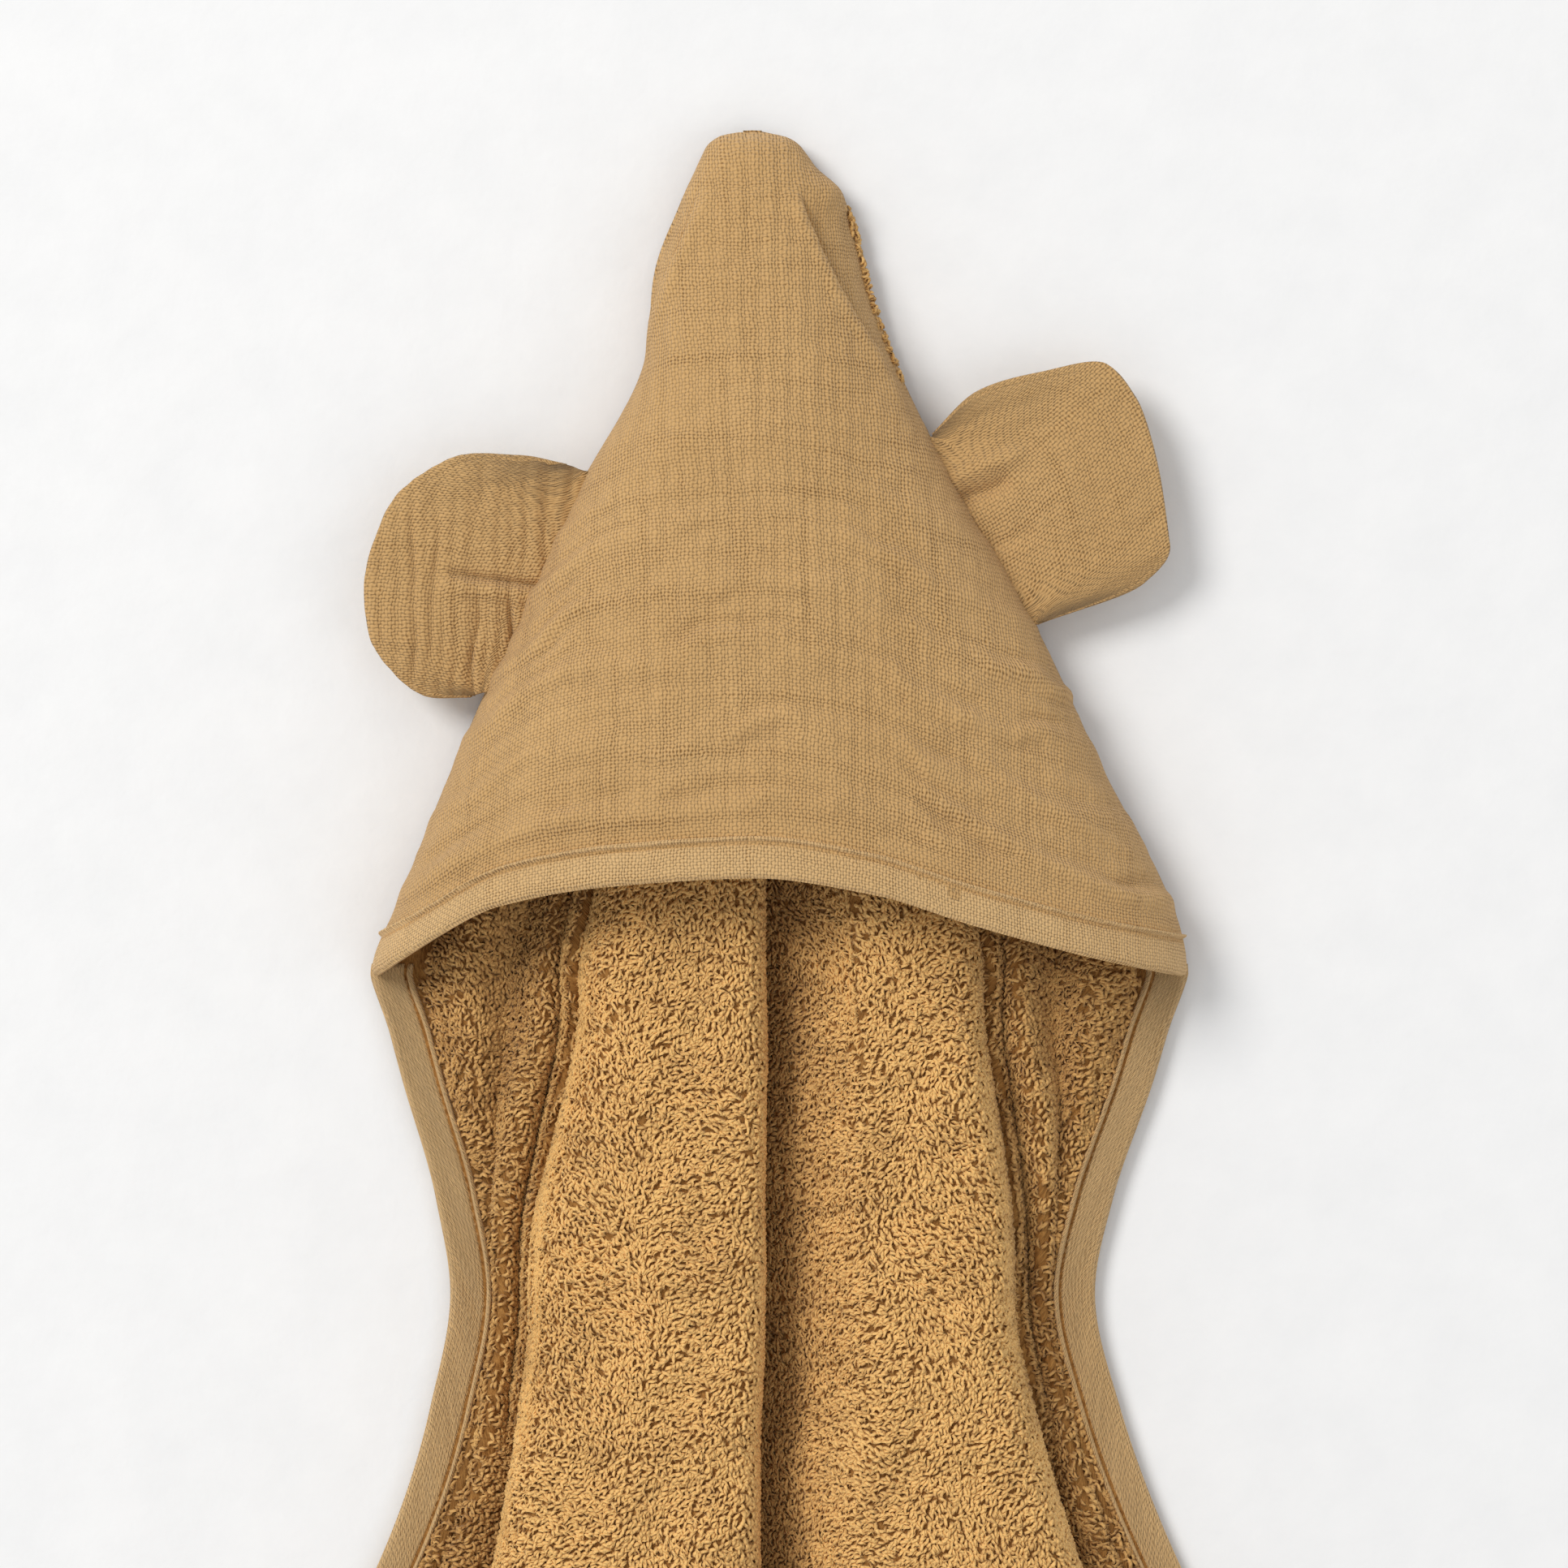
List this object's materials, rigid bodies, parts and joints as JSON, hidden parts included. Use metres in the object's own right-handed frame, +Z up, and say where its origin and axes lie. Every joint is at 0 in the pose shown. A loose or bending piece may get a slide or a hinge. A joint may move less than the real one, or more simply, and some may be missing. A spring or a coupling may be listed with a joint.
{
  "type": "hooded baby towel",
  "caption": "Square terry towel laid in soft rolls, with a pointed muslin hood on one corner, round sewn-in ears and a bound edge all round.",
  "frame": {"origin": "centre of the laid towel's bounding box, on the surface that it lies on", "axes": "+Y along the towel from its bottom corner to the hood's tip, +Z up, +X to the right seen from above with the hood away from the viewer"},
  "size_m": [0.6004, 1.0401, 0.0584],
  "materials": {
    "terry": "cotton terry, looped on both faces, caramel",
    "muslin": "crinkled double-gauze cotton muslin, caramel",
    "binding": "folded muslin bias binding, caramel",
    "thread": "matching cotton sewing thread"
  },
  "bodies": {
    "towel": {"terry_body": "terry", "binding_left": "binding", "binding_right": "binding", "stitch_left": "thread", "stitch_right": "thread"},
    "hood": {"terry_hood": "terry", "hood_front": "muslin", "hood_lining": "terry", "hood_edge_binding": "binding", "stitch_hood_edge": "thread"},
    "ear_left": {"ear_left_front": "muslin", "ear_left_back": "muslin"},
    "ear_right": {"ear_right_front": "muslin", "ear_right_back": "muslin"}
  },
  "joints": [
    {"name": "hood_fold", "type": "hinge", "parent": "towel", "child": "hood", "pos_m": [0, 0.198, 0.0015], "axis": [1, 0, 0], "range_deg": [0, 75]},
    {"name": "ear_left_flop", "type": "hinge", "parent": "hood", "child": "ear_left", "pos_m": [-0.07269, 0.38648, 0.0134], "axis": [0.4232, 0.906, 0], "range_deg": [0, 85]},
    {"name": "ear_right_flop", "type": "hinge", "parent": "hood", "child": "ear_right", "pos_m": [0.06064, 0.40151, 0.0134], "axis": [0.4905, -0.8714, 0], "range_deg": [0, 85]}
  ]
}
